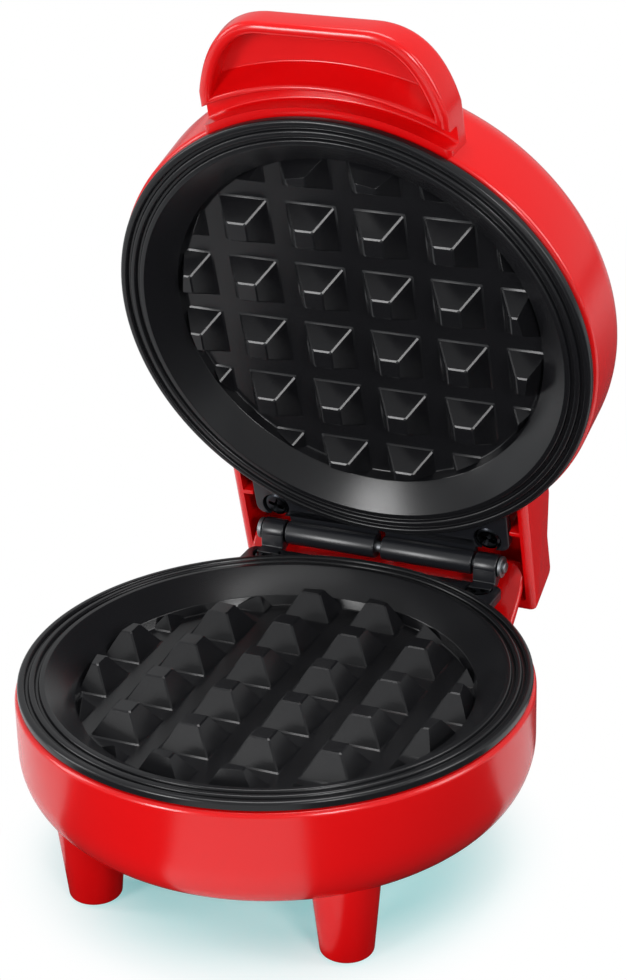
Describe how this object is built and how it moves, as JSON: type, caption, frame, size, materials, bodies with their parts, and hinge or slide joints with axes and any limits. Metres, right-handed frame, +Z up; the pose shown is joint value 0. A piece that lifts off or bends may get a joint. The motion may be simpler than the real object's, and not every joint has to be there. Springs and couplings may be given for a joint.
{
  "type": "mini waffle maker",
  "caption": "A small red waffle maker on four legs with a hinged lid, shown open on two black non-stick grid plates.",
  "frame": {"origin": "midway between left and right and between front and back of the whole object as it stands, on the surface it rests on", "axes": "+X towards its right-hand side seen from the front, +Y towards the back where the hinge is, +Z up"},
  "size_m": [0.12, 0.1476, 0.1922],
  "materials": {
    "red_shell": "high-gloss injection-moulded heat-resistant plastic, red",
    "black_nonstick": "die-cast aluminium with a satin black non-stick coating",
    "black_metal": "semi-gloss black painted metal",
    "bright_steel": "zinc-plated steel, lightly polished",
    "heater_sheath": "annealed steel heater sheath, heat-darkened",
    "tinned_steel": "thin aluminised steel sheet",
    "black_rubber": "matt black rubber",
    "cream_nylon": "natural cream heat-resistant nylon or ceramic",
    "amber_lens": "tinted translucent moulded lens",
    "clear_glass": "clear glass envelope of a small neon lamp"
  },
  "bodies": {
    "base": {"base_shell": "red_shell", "cord_bush": "black_rubber", "terminal_block": "cream_nylon", "foot_pad_front_left": "black_rubber", "foot_pad_rear_left": "black_rubber", "foot_pad_front_right": "black_rubber", "foot_pad_rear_right": "black_rubber", "hinge_pin": "bright_steel", "hinge_pin_clip": "bright_steel", "lower_plate": "black_nonstick", "lower_heater": "heater_sheath", "lower_reflector": "tinned_steel", "lower_reflector_screw_1": "bright_steel", "lower_reflector_screw_2": "bright_steel", "lower_reflector_screw_3": "bright_steel", "thermal_fuse": "cream_nylon", "base_hinge_bracket": "black_metal", "base_bracket_screw_1": "black_metal", "base_bracket_screw_2": "black_metal", "base_screw_1": "bright_steel", "base_screw_2": "bright_steel", "base_screw_3": "bright_steel"},
    "lid": {"lid_shell": "red_shell", "upper_plate": "black_nonstick", "upper_heater": "heater_sheath", "upper_reflector": "tinned_steel", "upper_reflector_screw_1": "bright_steel", "upper_reflector_screw_2": "bright_steel", "upper_reflector_screw_3": "bright_steel", "thermostat": "cream_nylon", "indicator_lens": "amber_lens", "indicator_lamp": "clear_glass", "lid_hinge_bracket": "black_metal", "lid_bracket_screw_1": "black_metal", "lid_bracket_screw_2": "black_metal"}
  },
  "joints": [
    {"name": "lid_hinge", "type": "hinge", "parent": "base", "child": "lid", "pos_m": [0, 0.05087, 0.0491], "axis": [-1, 0, 0], "range_deg": [-74.8, 20.2]}
  ]
}
